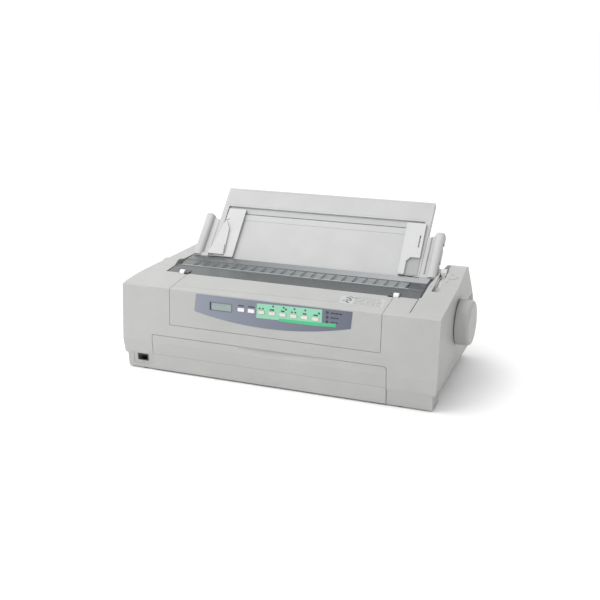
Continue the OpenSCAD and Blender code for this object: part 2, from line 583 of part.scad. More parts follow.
// ---------- frame ----------
module chassis() {
  color([0.75, 0.76, 0.78]) {
    difference() {
      bx(-240, 240, 40, 258, 8, 10);
      for (x = [-180, -60, 60, 180]) bx(x - 30, x + 30, 112, 122, 7, 11);
    }
    bx(-240, 240, 40, 42, 10, 22);
    // front paper ramp
    ex(-214, 190, [[20.5, 13], [22.5, 12], [30, 24], [41, 50], [41, 60], [39, 60], [39, 51], [28.2, 25]]);
    for (x = [-210, -70, 70, 186]) ex(x - 1, x + 1, [[23, 14], [42, 14], [42, 20], [40.4, 50], [39.2, 50]]);
    // post of the belt's idler pulley
    cz(10, 55.8, -185, 70, 6); cz(55.8, 68, -185, 70, 3);
    cz(66.4, 68, -185, 70, 5);
  }
}
module frame_plate(a, b) {
  ex(a, b, [[46, 10], [46, 96], [80, 112], [84, 145], [170, 145], [180, 150], [227, 150], [250, 125], [256, 117], [256, 10]]);
}
module side_frame_left() {
  color([0.75, 0.76, 0.78]) difference() {
    union() { frame_plate(-238, -236); cx(-249, -236, iy, iz, 3); cx(-249, -236, jy, jz, 3);
      bx(-238, -228, 46, 256, 10, 12); }
    cx(-240, -234, py, pz, 9);
    cx(-240, -234, my, mz, 10);
    cx(-240, -234, 88, 88, 6);
    cx(-240, -234, 100, 126, 2.56);
    cx(-240, -234, ty, tz, 5.06);
    cx(-240, -234, 248, 116, 3);
  }
}
module side_frame_right() {
  color([0.75, 0.76, 0.78]) difference() {
    union() { frame_plate(236, 238); cx(236, 252, 158, 124, 3); bx(228, 238, 46, 256, 10, 12); }
    cx(234, 240, py, pz, 9);
    cx(234, 240, 88, 88, 6);
    cx(234, 240, 100, 126, 2.56);
    cx(234, 240, ty, tz, 5.06);
    cx(234, 240, 248, 116, 3);
  }
}

// ---------- carriage ----------
module carriage_rod() { color([0.8, 0.8, 0.82]) cx(-238, 238, 88, 88, 6); }
module carriage_rail() {
  color([0.72, 0.73, 0.75]) { bx(-236, 236, 48, 54, 84, 87); bx(-236, 236, 48, 50, 70, 84); }
}
module carriage() {
  color([0.2, 0.2, 0.21]) difference() {
    union() {
      bx(car_x - 35, car_x + 35, 78, 98, 80, 102);
      bx(car_x - 30, car_x + 30, 55, 80, 89, 102);
      bx(car_x - 30, car_x + 30, 45, 56, 87.4, 94);
      bx(car_x - 14, car_x + 14, 55, 58, 70, 90);
      bx(car_x - 14, car_x + 14, 51, 58, 80, 83.6);
      // belt clamp
      bx(car_x + 12, car_x + 26, 56, 64.5, 54, 90);
    }
    cx(car_x - 40, car_x + 40, 88, 88, 6.05);
    bx(car_x - 40, car_x + 40, 58.6, 61.1, 57.4, 66.6);
  }
}
module print_head() {
  color([0.3, 0.3, 0.32]) {
    bx(car_x - 20, car_x + 20, 84, 112, 102, 112);
    bx(car_x - 16, car_x + 16, 86, 110, 112, 120);
    for (i = [0:5]) bx(car_x - 18, car_x + 18, 85 + 4.6 * i, 87 + 4.6 * i, 112, 136);
    bx(car_x - 6, car_x + 6, 112, 119.6, 104, 114);
  }
}
module ribbon_cartridge() {
  color([0.08, 0.08, 0.09]) difference() {
    union() {
      bx(car_x - 40, car_x + 40, 52, 80, 102, 116);
      bx(car_x - 40, car_x - 30, 78, 118, 103, 113);
      bx(car_x + 30, car_x + 40, 78, 118, 103, 113);
      bx(car_x - 36, car_x + 36, 120.2, 120.7, 103.5, 113);
      bx(car_x - 38, car_x - 30, 116, 120.7, 103.5, 113);
      bx(car_x + 30, car_x + 38, 116, 120.7, 103.5, 113);
    }
    cz(108, 117, car_x + 24, 66, 3.06);
  }
}
module ribbon_knob() {
  color([0.2, 0.45, 0.75]) {
    cz(109, 118, car_x + 24, 66, 3);
    difference() { cz(116.4, 123, car_x + 24, 66, 7); bx(car_x + 15, car_x + 33, 65, 67, 121, 124); }
  }
}
module carriage_motor() {
  color([0.35, 0.35, 0.37]) difference() {
    union() { cz(10, 50, motor_x, 70, 21); bx(motor_x - 22, motor_x + 22, 48, 92, 50, 52); cz(52, 55, motor_x, 70, 8); }
    cz(40, 60, motor_x, 70, 2.56);
  }
}
module drive_pulley() {
  color([0.9, 0.9, 0.88]) { cz(57, 65.2, motor_x, 70, 9); cz(55.6, 57, motor_x, 70, 11); cz(65.2, 66.2, motor_x, 70, 11); cz(42, 57, motor_x, 70, 2.5); }
}
module idler_pulley() {
  color([0.9, 0.9, 0.88]) difference() {
    union() { cz(57, 65.2, -185, 70, 9); cz(56.2, 57, -185, 70, 11); cz(65.2, 66.1, -185, 70, 11); }
    cz(50, 70, -185, 70, 3.06);
  }
}
module belt_ring(r) { translate([-185, 70]) circle(r = r); translate([motor_x, 70]) circle(r = r); translate([-185, 70 - r]) square([motor_x + 185, 2 * r]); }
module carriage_belt() {
  color([0.12, 0.12, 0.12]) difference() {
    union() {
      translate([0, 0, 58]) linear_extrude(6.6) belt_ring(10.6);
    }
    translate([0, 0, 57]) linear_extrude(9) belt_ring(9.3);
  }
}

// ---------- paper handling ----------
module paper_bail() {
  color([0.75, 0.75, 0.77]) {
    cx(-226, 226, 129.2, 132.1, 2.5);
    for (s = [-1, 1]) {
      ex(s < 0 ? -228 : 225, s < 0 ? -225 : 228, [[95.5, 121.5], [102, 121], [132, 128], [134, 132], [131, 137], [124, 136.4], [98, 131], [95, 128]]);
      cx(s < 0 ? -238 : 227, s < 0 ? -227 : 238, 100, 126, 2.5);
    }
  }
}
module bail_rollers() {
  color([0.2, 0.2, 0.2]) for (x = [-160, -80, 0, 80, 160]) difference() { cx(x - 7, x + 7, 129.2, 132.1, 7); cx(x - 9, x + 9, 129.2, 132.1, 2.56); }
}
module tractor_shaft() {
  color([0.75, 0.75, 0.77]) { cx(-240, 238, ty, tz, 5); gear(-247, -240, ty, tz, z_idler, ph_t, 1); }
}
module tractor_idler() { color([0.93, 0.93, 0.9]) gear(-247, -240, jy, jz, z_idler, ph_j, 3.06); }
module tractor_rod() { color([0.75, 0.75, 0.77]) cx(-238, 238, 248, 116, 3); }
module tractor(x, s) {
  color([0.25, 0.26, 0.3]) difference() {
    union() {
      cx(x - 9, x + 9, ty, tz, 11);
      cx(x - 9, x + 9, 248, 116, 9);
      ex(x - 9, x + 9, [[ty - 5.2, tz - 9.6], [ty + 5, tz + 9.8], [252.3, 124], [243.7, 108]]);
      // pins of the feed belt
      for (k = [0:4]) translate([x, ty + 4.6 + 5 * k, tz + 9.7 - 2.35 * k]) rotate([25, 0, 0]) cylinder(h = 3, r = 1.4);
      // lock lever
      ex(x + s * 9 - 1.5, x + s * 9 + 1.5, [[ty - 3, tz + 6], [ty + 3, tz + 6], [ty + 1, tz + 18], [ty - 6, tz + 18]]);
    }
    cx(x - 20, x + 20, ty, tz, 5.06);
    cx(x - 20, x + 20, 248, 116, 3.06);
  }
}
module tractor_left() { tractor(-188, 1); }
module tractor_right() { tractor(188, -1); }
module release_lever() {
  color([0.86, 0.86, 0.84]) translate([0, 158, 124]) rotate([-34, 0, 0]) translate([0, -158, -124]) difference() {
    union() {
      cx(243.5, 249.5, 158, 124, 6);
      ex(243.5, 249.5, [[153, 121], [163, 127], [141, 174], [133.5, 172.5]]);
      ex(241.8, 251.2, [[131.5, 176.5], [133.5, 172.3], [141, 173.8], [142.5, 178], [141.2, 182.4], [139.8, 184.4], [135, 184.8], [132.2, 182.6]]);
    }
    cx(240, 253, 158, 124, 3.06);
  }
}

// ---------- power and electronics ----------
module switch_housing() {
  color([0.07, 0.07, 0.07]) difference() {
    union() {
      ex(-253.1, -234.7, [[fy(17) + 0.9, 17], [26, 17], [26, 26.9], [fy(26.9) + 0.9, 26.9]]);
      ex(-254.2, -233.6, [[fy(15.9) + 0.6, 15.9], [fy(15.9) + 1.66, 15.9], [fy(27.9) + 1.66, 27.9], [fy(27.9) + 0.6, 27.9]]);
    }
    bx(-252, -235.8, 2, 16, 18.2, 25.7);
    cz(17.2, 26.7, -243.9, 10, 1.5);
  }
}
module power_rocker() {
  color([0.05, 0.05, 0.05]) translate([-243.9, 10, 0]) rotate([0, 0, 8]) {
    translate([0, 0, 18.4]) linear_extrude(7.1) polygon([[-6.7, -6.2], [0, -5.2], [6.7, -6.2], [6.7, -2], [3, 2.5], [-3, 2.5], [-6.7, -2]]);
    cz(17.3, 26.6, 0, 0, 1.44);
  }
}
module main_board() {
  color([0.12, 0.42, 0.22]) {
    bx(-90, 222, 130, 262, 30, 31.6);
    for (x = [-80, 212]) for (y = [138, 252]) cz(10, 30, x, y, 3);
    for (i = [0:3]) bx(-60 + 60 * i, -30 + 60 * i, 160, 190, 31.6, 35);
    bx(60, 116, 256, 277.5, 31.6, 47);
    for (i = [0:2]) cz(31.6, 48, 160 + 18 * i, 220, 6);
  }
}
module power_supply() {
  color([0.55, 0.56, 0.58]) {
    bx(-228, -104, 170, 240, 14, 60);
    for (x = [-220, -112]) for (y = [178, 232]) cz(10, 14, x, y, 4);
    difference() { bx(-216, -187, 240, 278.8, 34, 56); bx(-212.5, -190.5, 262, 280, 37.5, 52.5); }
    for (x = [-206.5, -201.5, -196.5]) bx(x - 1, x + 1, 255, 273, 43, 47);
  }
}

place() lower_case();
place() upper_case();
place() operator_hood();
place() panel_overlay();
place() lcd_window();
place() menu_button_left();
place() menu_button_right();
place() panel_key_1();
place() panel_key_2();
place() panel_key_3();
place() panel_key_4();
place() panel_key_5();
place() panel_key_6();
place() panel_lamps();
place() panel_board();
place() front_cover();
place() smoked_cover();
place() hinge_brackets();
place() rear_deck();
place() sheet_guide();
place() guide_plate();
place() guide_arm_left();
place() guide_arm_right();
place() edge_guide_left();
place() edge_guide_right();
place() platen_knob();
place() platen_shaft();
place() platen_roller();
place() platen_bushes();
place() platen_gear();
place() feed_idler();
place() feed_motor();
place() motor_pinion();
place() chassis();
place() side_frame_left();
place() side_frame_right();
place() carriage_rod();
place() carriage_rail();
place() carriage();
place() print_head();
place() ribbon_cartridge();
place() ribbon_knob();
place() carriage_motor();
place() drive_pulley();
place() idler_pulley();
place() carriage_belt();
place() paper_bail();
place() bail_rollers();
place() tractor_shaft();
place() tractor_idler();
place() tractor_rod();
place() tractor_left();
place() tractor_right();
place() release_lever();
place() power_rocker();
place() switch_housing();
place() main_board();
place() power_supply();
place() feet();
place() case_screws();
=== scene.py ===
import json
import math

import bmesh
import bpy
from mathutils import Matrix, Vector

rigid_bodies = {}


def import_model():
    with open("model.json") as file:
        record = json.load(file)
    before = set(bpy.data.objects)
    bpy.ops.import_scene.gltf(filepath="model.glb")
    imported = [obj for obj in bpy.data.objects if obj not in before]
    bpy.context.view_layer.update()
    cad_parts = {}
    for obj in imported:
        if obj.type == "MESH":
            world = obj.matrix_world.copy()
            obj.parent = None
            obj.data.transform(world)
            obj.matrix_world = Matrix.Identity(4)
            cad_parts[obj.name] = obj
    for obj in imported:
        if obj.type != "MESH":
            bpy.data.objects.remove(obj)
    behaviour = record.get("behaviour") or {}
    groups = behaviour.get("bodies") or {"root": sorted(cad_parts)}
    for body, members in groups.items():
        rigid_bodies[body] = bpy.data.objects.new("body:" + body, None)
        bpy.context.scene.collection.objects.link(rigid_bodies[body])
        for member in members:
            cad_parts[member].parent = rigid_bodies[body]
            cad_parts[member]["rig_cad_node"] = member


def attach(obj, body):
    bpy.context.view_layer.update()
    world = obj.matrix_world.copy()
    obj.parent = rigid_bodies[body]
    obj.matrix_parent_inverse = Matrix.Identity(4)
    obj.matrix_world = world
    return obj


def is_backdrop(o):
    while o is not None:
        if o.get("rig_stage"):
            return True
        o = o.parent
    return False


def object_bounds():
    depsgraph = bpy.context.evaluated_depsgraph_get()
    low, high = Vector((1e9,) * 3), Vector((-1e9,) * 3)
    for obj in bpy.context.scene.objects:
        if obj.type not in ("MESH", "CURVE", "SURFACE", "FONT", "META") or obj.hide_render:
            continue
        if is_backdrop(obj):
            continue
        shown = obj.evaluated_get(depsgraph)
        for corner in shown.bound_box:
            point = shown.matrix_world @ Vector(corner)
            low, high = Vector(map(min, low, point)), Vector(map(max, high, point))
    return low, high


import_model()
bounds_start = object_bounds()

# ------------------------------------------------------------------ the drawing frame
# Lengths below are in millimetres in the drawing's frame: x = 0 on the case's centre plane,
# y = 0 at the crease of the front face, z = 0 on the table. row() turns them into the row frame.
LEAN = math.radians(4.5)
GUIDE = math.radians(43.3)
OX = -12.5
OY = -(179 + 150 * math.sin(GUIDE) + 12 * math.cos(GUIDE)) / 2
CREASE = 53.9


def row(x, y, z):
    return Vector(((x + OX) / 1000, (y + OY) / 1000, z / 1000))


def on_panel(x, s, n=0.0):
    """x, distance up the panel face, distance out of it."""
    y = s * math.sin(LEAN) - n * math.cos(LEAN)
    z = CREASE + s * math.cos(LEAN) + n * math.sin(LEAN)
    return row(x, y, z)


def on_guide(x, v, n=0.0):
    """x, distance up the sheet guide, distance out of its front."""
    y = 179 + v * math.sin(GUIDE) - n * math.cos(GUIDE)
    z = 166.5 + v * math.cos(GUIDE) + n * math.sin(GUIDE)
    return row(x, y, z)


def lin(c):
    c = c / 255.0
    return c / 12.92 if c <= 0.04045 else ((c + 0.055) / 1.055) ** 2.4


def rgb(r, g, b):
    return (lin(r), lin(g), lin(b), 1.0)


# ------------------------------------------------------------------ materials
def new_mat(name):
    m = bpy.data.materials.new(name)
    m.use_nodes = True
    nt = m.node_tree
    for n in list(nt.nodes):
        nt.nodes.remove(n)
    out = nt.nodes.new("ShaderNodeOutputMaterial")
    b = nt.nodes.new("ShaderNodeBsdfPrincipled")
    nt.links.new(b.outputs["BSDF"], out.inputs["Surface"])
    return m, nt, b


def noise(nt, scale, detail=2.0, rough=0.5, vec=None):
    n = nt.nodes.new("ShaderNodeTexNoise")
    n.inputs["Scale"].default_value = scale
    n.inputs["Detail"].default_value = detail
    n.inputs["Roughness"].default_value = rough
    if vec is not None:
        nt.links.new(vec, n.inputs["Vector"])
    return n


def plastic(name, col, rough=0.5, tint=0.035, grain=900.0, bump=0.03, dist=0.00006, spec=0.4, coat=0.0, metallic=0.0, blotch=18.0):
    """Moulded surface: slow colour drift, fine spark-eroded grain in bump and roughness."""
    m, nt, b = new_mat(name)
    tc = nt.nodes.new("ShaderNodeTexCoord")
    slow = noise(nt, blotch, 3.0, 0.55, tc.outputs["Object"])
    mix = nt.nodes.new("ShaderNodeMix")
    mix.data_type = "RGBA"
    lo = tuple(max(0.0, c * (1 - tint)) for c in col[:3]) + (1.0,)
    hi = tuple(min(1.0, c * (1 + tint)) for c in col[:3]) + (1.0,)
    mix.inputs["A"].default_value = lo
    mix.inputs["B"].default_value = hi
    ramp = nt.nodes.new("ShaderNodeMapRange")
    ramp.inputs["From Min"].default_value = 0.3
    ramp.inputs["From Max"].default_value = 0.7
    nt.links.new(slow.outputs["Fac"], ramp.inputs["Value"])
    nt.links.new(ramp.outputs["Result"], mix.inputs["Factor"])
    nt.links.new(mix.outputs["Result"], b.inputs["Base Color"])
    fine = noise(nt, grain, 2.0, 0.6, tc.outputs["Object"])
    rr = nt.nodes.new("ShaderNodeMapRange")
    rr.inputs["From Min"].default_value = 0.25
    rr.inputs["From Max"].default_value = 0.75
    rr.inputs["To Min"].default_value = max(0.02, rough - 0.05)
    rr.inputs["To Max"].default_value = min(1.0, rough + 0.05)
    nt.links.new(fine.outputs["Fac"], rr.inputs["Value"])
    nt.links.new(rr.outputs["Result"], b.inputs["Roughness"])
    bp = nt.nodes.new("ShaderNodeBump")
    bp.inputs["Strength"].default_value = bump * 10
    bp.inputs["Distance"].default_value = dist
    nt.links.new(fine.outputs["Fac"], bp.inputs["Height"])
    nt.links.new(bp.outputs["Normal"], b.inputs["Normal"])
    b.inputs["Specular IOR Level"].default_value = spec
    b.inputs["Metallic"].default_value = metallic
    b.inputs["Coat Weight"].default_value = coat
    return m


def brushed(name, col, rough=0.32, along="X"):
    m, nt, b = new_mat(name)
    tc = nt.nodes.new("ShaderNodeTexCoord")
    mp = nt.nodes.new("ShaderNodeMapping")
    mp.inputs["Scale"].default_value = (20, 900, 900) if along == "X" else (900, 900, 20)
    nt.links.new(tc.outputs["Object"], mp.inputs["Vector"])
    n = noise(nt, 1.0, 3.0, 0.6, mp.outputs["Vector"])
    mix = nt.nodes.new("ShaderNodeMix")
    mix.data_type = "RGBA"
    mix.inputs["A"].default_value = tuple(c * 0.86 for c in col[:3]) + (1,)
    mix.inputs["B"].default_value = tuple(min(1, c * 1.08) for c in col[:3]) + (1,)
    nt.links.new(n.outputs["Fac"], mix.inputs["Factor"])
    nt.links.new(mix.outputs["Result"], b.inputs["Base Color"])
    rr = nt.nodes.new("ShaderNodeMapRange")
    rr.inputs["To Min"].default_value = rough - 0.08
    rr.inputs["To Max"].default_value = rough + 0.12
    nt.links.new(n.outputs["Fac"], rr.inputs["Value"])
    nt.links.new(rr.outputs["Result"], b.inputs["Roughness"])
    b.inputs["Metallic"].default_value = 1.0
    return m


CASE = plastic("case_plastic", rgb(169, 170, 168), rough=0.46, bump=0.035)
BASE = plastic("base_plastic", rgb(168, 169, 167), rough=0.48, bump=0.035)
GUIDEM = plastic("guide_plastic", rgb(177, 178, 177), rough=0.42, bump=0.02)
EDGE = plastic("edge_guide_plastic", rgb(189, 190, 189), rough=0.4, bump=0.02)
KNOB = plastic("knob_plastic", rgb(168, 169, 166), rough=0.45, bump=0.03)
WHITE = plastic("white_plastic", rgb(222, 222, 221), rough=0.35, bump=0.01)
MINTKEY = plastic("mint_key_plastic", rgb(210, 204, 196), rough=0.35, bump=0.01)
BLACK = plastic("black_plastic", rgb(32, 32, 33), rough=0.32, bump=0.02, spec=0.5)
DARK = plastic("dark_moulding", rgb(52, 53, 56), rough=0.5, bump=0.03)
RUBBER = plastic("black_rubber", rgb(40, 40, 42), rough=0.75, bump=0.06, grain=600, spec=0.25)
NYLON = plastic("natural_nylon", rgb(232, 229, 218), rough=0.4, bump=0.01)
BOARD = plastic("circuit_board", rgb(28, 96, 60), rough=0.4, tint=0.12, grain=350, bump=0.04, blotch=140, spec=0.5)
MOTOR = plastic("motor_paint", rgb(58, 59, 62), rough=0.4, bump=0.03)
ZINC = plastic("zinc_sheet", rgb(176, 180, 186), rough=0.38, tint=0.1, grain=200, bump=0.02, metallic=0.85, blotch=55)
BLUE = plastic("blue_plastic", rgb(62, 110, 176), rough=0.4, bump=0.02)
STEEL = brushed("bare_steel", rgb(178, 180, 184))
BRASS = brushed("turned_brass", rgb(190, 160, 92), along="Z")
LAMP = plastic("dark_lamp", rgb(52, 52, 72), rough=0.2, bump=0.005, spec=0.6)
# dark colour used as painted shade in the shoulder groove
GROOVE_SHADE = plastic("painted_groove_shade", rgb(70, 70, 70), rough=0.8, bump=0.01)


def smoked(name, col, alpha=0.93, rough=0.22):
    m = plastic(name, col, rough=rough, tint=0.05, grain=700, bump=0.012, spec=0.55)
    m.node_tree.nodes["Principled BSDF"].inputs["Alpha"].default_value = alpha
    return m


SMOKE = smoked("smoked_plastic", rgb(68, 72, 75))
# pale smoked plastic used as painted highlight on the rib sides and on the ridge
SMOKE_HIGHLIGHT = smoked("smoked_painted_highlight", rgb(172, 178, 178), 1.0, 0.3)
SMOKE_RIB_SHADOW = smoked("smoked_shadow_rib", rgb(44, 48, 50), 1.0, 0.35)


def painted_sheen_along_x(m, x0, c0, x1, c1, strength=0.06):
    """Base colour that changes along x: painted sheen, the reflection on the smoked plastic put into the colour."""
    nt = m.node_tree
    b = nt.nodes["Principled BSDF"]
    tc = nt.nodes.new("ShaderNodeTexCoord")
    sx = nt.nodes.new("ShaderNodeSeparateXYZ")
    nt.links.new(tc.outputs["Object"], sx.inputs["Vector"])
    mr = nt.nodes.new("ShaderNodeMapRange")
    mr.inputs["From Min"].default_value = x0
    mr.inputs["From Max"].default_value = x1
    nt.links.new(sx.outputs["X"], mr.inputs["Value"])
    cr = nt.nodes.new("ShaderNodeValToRGB")
    cr.color_ramp.elements[0].color = c0
    cr.color_ramp.elements[1].color = c1
    nt.links.new(mr.outputs["Result"], cr.inputs["Fac"])
    fine = noise(nt, 700, 2, 0.6, tc.outputs["Object"])
    mix = nt.nodes.new("ShaderNodeMix")
    mix.data_type = "RGBA"
    mix.blend_type = "MULTIPLY"
    mix.inputs["Factor"].default_value = strength
    nt.links.new(cr.outputs["Color"], mix.inputs["A"])
    nt.links.new(fine.outputs["Color"], mix.inputs["B"])
    nt.links.new(mix.outputs["Result"], b.inputs["Base Color"])
    return m


# painted sheen: darker at the left, lighter at the right
SMOKE_PANEL_SHEEN = painted_sheen_along_x(smoked("smoked_panel", rgb(124, 131, 131), 1.0, 0.3), -0.22, rgb(66, 72, 74), 0.02, rgb(122, 128, 129))
SMOKE_BACK_SHEEN = painted_sheen_along_x(smoked("smoked_back_painted_sheen", rgb(98, 104, 106), 1.0, 0.3), -0.22, rgb(80, 84, 88), 0.18, rgb(162, 166, 168))


def label_material():
    """Printed film: blue-grey that deepens to the right, as the film in the photograph does."""
    m, nt, b = new_mat("label_film")
    tc = nt.nodes.new("ShaderNodeTexCoord")
    sx = nt.nodes.new("ShaderNodeSeparateXYZ")
    nt.links.new(tc.outputs["Object"], sx.inputs["Vector"])
    mr = nt.nodes.new("ShaderNodeMapRange")
    mr.inputs["From Min"].default_value = -0.15
    mr.inputs["From Max"].default_value = 0.125
    nt.links.new(sx.outputs["X"], mr.inputs["Value"])
    cr = nt.nodes.new("ShaderNodeValToRGB")
    cr.color_ramp.elements[0].position = 0.0
    cr.color_ramp.elements[0].color = rgb(129, 134, 147)
    cr.color_ramp.elements[1].position = 1.0
    cr.color_ramp.elements[1].color = rgb(94, 98, 112)
    e = cr.color_ramp.elements.new(0.45)
    e.color = rgb(114, 119, 133)
    nt.links.new(mr.outputs["Result"], cr.inputs["Fac"])
    fine = noise(nt, 1500, 2, 0.6, tc.outputs["Object"])
    mix = nt.nodes.new("ShaderNodeMix")
    mix.data_type = "RGBA"
    mix.blend_type = "MULTIPLY"
    mix.inputs["Factor"].default_value = 0.06
    nt.links.new(cr.outputs["Color"], mix.inputs["A"])
    nt.links.new(fine.outputs["Color"], mix.inputs["B"])
    nt.links.new(mix.outputs["Result"], b.inputs["Base Color"])
    bp = nt.nodes.new("ShaderNodeBump")
    bp.inputs["Strength"].default_value = 0.08
    bp.inputs["Distance"].default_value = 0.00005
    nt.links.new(fine.outputs["Fac"], bp.inputs["Height"])
    nt.links.new(bp.outputs["Normal"], b.inputs["Normal"])
    b.inputs["Roughness"].default_value = 0.4
    return m


LABEL = label_material()
MINT = plastic("mint_print", rgb(136, 194, 166), rough=0.4, tint=0.03, grain=1400, bump=0.008)
GREEN = plastic("green_print", rgb(70, 178, 124), rough=0.4, tint=0.04, grain=1400, bump=0.008)
INK = plastic("dark_print", rgb(36, 40, 52), rough=0.45, tint=0.05, grain=1400, bump=0.006)
INK_GREEN = plastic("dark_green_print", rgb(24, 56, 46), rough=0.45, tint=0.05, grain=1400, bump=0.006)
PALE_INK = plastic("pale_print", rgb(196, 204, 210), rough=0.45, tint=0.03, grain=1400, bump=0.006)
RED_INK = plastic("red_print", rgb(206, 120, 112), rough=0.45, tint=0.05, grain=1400, bump=0.006)
LCD = plastic("lcd_glass", rgb(146, 160, 158), rough=0.18, tint=0.06, grain=500, bump=0.004, spec=0.6, coat=0.4)
STICKER = plastic("sticker_film", rgb(214, 214, 208), rough=0.3, tint=0.02, grain=1200, bump=0.006)

SLOT_MATERIAL = {
    "upper_case": CASE, "operator_hood": CASE, "front_cover": CASE, "rear_deck": CASE,
    "lower_case": BASE, "platen_knob": KNOB,
    "sheet_guide": GUIDEM, "guide_plate": GUIDEM, "guide_arm_left": GUIDEM, "guide_arm_right": GUIDEM,
    "edge_guide_left": EDGE, "edge_guide_right": EDGE, "release_lever": EDGE,
    "smoked_cover": SMOKE, "panel_overlay": LABEL, "lcd_window": LCD,
    "menu_button_left": WHITE, "menu_button_right": WHITE, "panel_lamps": LAMP, "hinge_brackets": WHITE,
    "power_rocker": BLACK, "switch_housing": BLACK, "carriage": DARK, "ribbon_cartridge": DARK,
    "tractor_left": DARK, "tractor_right": DARK, "panel_board": BOARD, "main_board": BOARD,
    "platen_shaft": STEEL, "carriage_rod": STEEL, "carriage_rail": STEEL, "paper_bail": STEEL,
    "tractor_rod": STEEL, "case_screws": STEEL, "feed_motor": MOTOR, "carriage_motor": MOTOR,
    "print_head": MOTOR, "platen_roller": RUBBER, "bail_rollers": RUBBER, "carriage_belt": RUBBER,
    "feet": RUBBER, "platen_bushes": NYLON, "platen_gear": NYLON, "feed_idler": NYLON,
    "tractor_idler": NYLON, "drive_pulley": NYLON, "idler_pulley": NYLON, "tractor_shaft": NYLON,
    "motor_pinion": BRASS, "chassis": ZINC, "side_frame_left": ZINC, "side_frame_right": ZINC,
    "power_supply": ZINC, "ribbon_knob": BLUE,
}
for i in range(1, 7):
    SLOT_MATERIAL["panel_key_%d" % i] = MINTKEY

# edge radius of each moulding, millimetres
ROUND = {
    "upper_case": 1.6, "operator_hood": 0.7, "front_cover": 0.6, "lower_case": 1.0, "rear_deck": 0.8,
    "sheet_guide": 0.25, "guide_plate": 0.3, "guide_arm_left": 0.6, "guide_arm_right": 0.6,
    "edge_guide_left": 0.3, "edge_guide_right": 0.3, "release_lever": 0.8, "smoked_cover": 0.3,
    "hinge_brackets": 0.8, "menu_button_left": 0.5, "menu_button_right": 0.5, "platen_knob": 0.6,
    "power_rocker": 0.5, "switch_housing": 0.4, "ribbon_cartridge": 0.8, "carriage": 0.6, "print_head": 0.3,
    "ribbon_knob": 0.5, "tractor_left": 0.5, "tractor_right": 0.5, "feet": 0.6, "lcd_window": 0.2,
    "paper_bail": 0.4, "bail_rollers": 0.6, "carriage_motor": 0.5, "feed_motor": 0.5,
}
for i in range(1, 7):
    ROUND["panel_key_%d" % i] = 0.5


def cad_nodes():
    return {o["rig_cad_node"]: o for o in bpy.context.scene.objects if "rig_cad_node" in o}


for node, o in cad_nodes().items():
    mat = SLOT_MATERIAL[node]
    if len(o.material_slots) == 0:
        o.data.materials.append(mat)
    for sl in o.material_slots:
        sl.link = "OBJECT"
        sl.material = mat
    if node in ROUND:
        w = o.modifiers.new("weld", "WELD")
        w.merge_threshold = 0.000002
        if node not in ("sheet_guide", "edge_guide_left", "edge_guide_right"):
            d = o.modifiers.new("planar", "DECIMATE")
            d.decimate_type = "DISSOLVE"
            d.angle_limit = math.radians(0.6)
        v = o.modifiers.new("round", "BEVEL")
        v.width = ROUND[node] / 1000
        v.segments = 3
        v.limit_method = "ANGLE"
        v.angle_limit = math.radians(24)
        v.use_clamp_overlap = True
        v.harden_normals = False
        v.miter_outer = "MITER_ARC"
        n = o.modifiers.new("normals", "WEIGHTED_NORMAL")
        n.keep_sharp = True
        n.weight = 60


# ------------------------------------------------------------------ mesh helpers
def put(name, verts, faces, mat, body, slot, smooth=True, bevel=0.0, angle=30):
    me = bpy.data.meshes.new(name)
    me.from_pydata([tuple(v) for v in verts], [], faces)
    me.update()
    bm = bmesh.new()
    bm.from_mesh(me)
    bmesh.ops.remove_doubles(bm, verts=bm.verts, dist=1e-7)
    bmesh.ops.recalc_face_normals(bm, faces=bm.faces)
    bm.to_mesh(me)
    bm.free()
    o = bpy.data.objects.new(name, me)
    bpy.context.scene.collection.objects.link(o)
    me.materials.append(mat)
    if smooth:
        for p in me.polygons:
            p.use_smooth = True
        me.set_sharp_from_angle(angle=math.radians(angle))
    if bevel:
        b = o.modifiers.new("round", "BEVEL")
        b.width = bevel / 1000
        b.segments = 2
        b.limit_method = "ANGLE"
        b.angle_limit = math.radians(30)
        o.modifiers.new("normals", "WEIGHTED_NORMAL").keep_sharp = True
    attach(o, body)
    return o


def fill(loops):
    """Triangles of a flat outline with holes. loops: lists of (u, v); the first is the outside."""
    cu = bpy.data.curves.new("tmp_fill", "CURVE")
    cu.dimensions = "2D"
    cu.fill_mode = "BOTH"
    for lp in loops:
        sp = cu.splines.new("POLY")
        sp.points.add(len(lp) - 1)
        for i, (u, v) in enumerate(lp):
            sp.points[i].co = (u, v, 0, 1)
        sp.use_cyclic_u = True
    o = bpy.data.objects.new("tmp_fill", cu)
    me = o.to_mesh()
    vs = [(v.co.x, v.co.y) for v in me.vertices]
    fs = [tuple(p.vertices) for p in me.polygons]
    o.to_mesh_clear()
    bpy.data.objects.remove(o)
    bpy.data.curves.remove(cu)
    return vs, fs


def sheet_mesh(loops, to, n0, n1):
    """Closed thin plate with the outline and holes, between distances n0 and n1."""
    vs, fs = fill(loops)
    verts = [to(u, v, n1) for u, v in vs] + [to(u, v, n0) for u, v in vs]
    k = len(vs)
    faces = [tuple(f) for f in fs] + [tuple(i + k for i in reversed(f)) for f in fs]
    edges = {}
    for f in fs:
        for a, b in zip(f, f[1:] + f[:1]):
            key = (min(a, b), max(a, b))
            edges.setdefault(key, []).append((a, b))
    for key, e in edges.items():
        if len(e) == 1:
            a, b = e[0]
            faces.append((b, a, a + k, b + k))
    return verts, faces


def rrect(x0, x1, y0, y1, r, seg=5):
    pts = []
    for cx, cy, a0 in ((x1 - r, y1 - r, 0), (x0 + r, y1 - r, 90), (x0 + r, y0 + r, 180), (x1 - r, y0 + r, 270)):
        for i in range(seg + 1):
            a = math.radians(a0 + 90 * i / seg)
            pts.append((cx + r * math.cos(a), cy + r * math.sin(a)))
    return pts


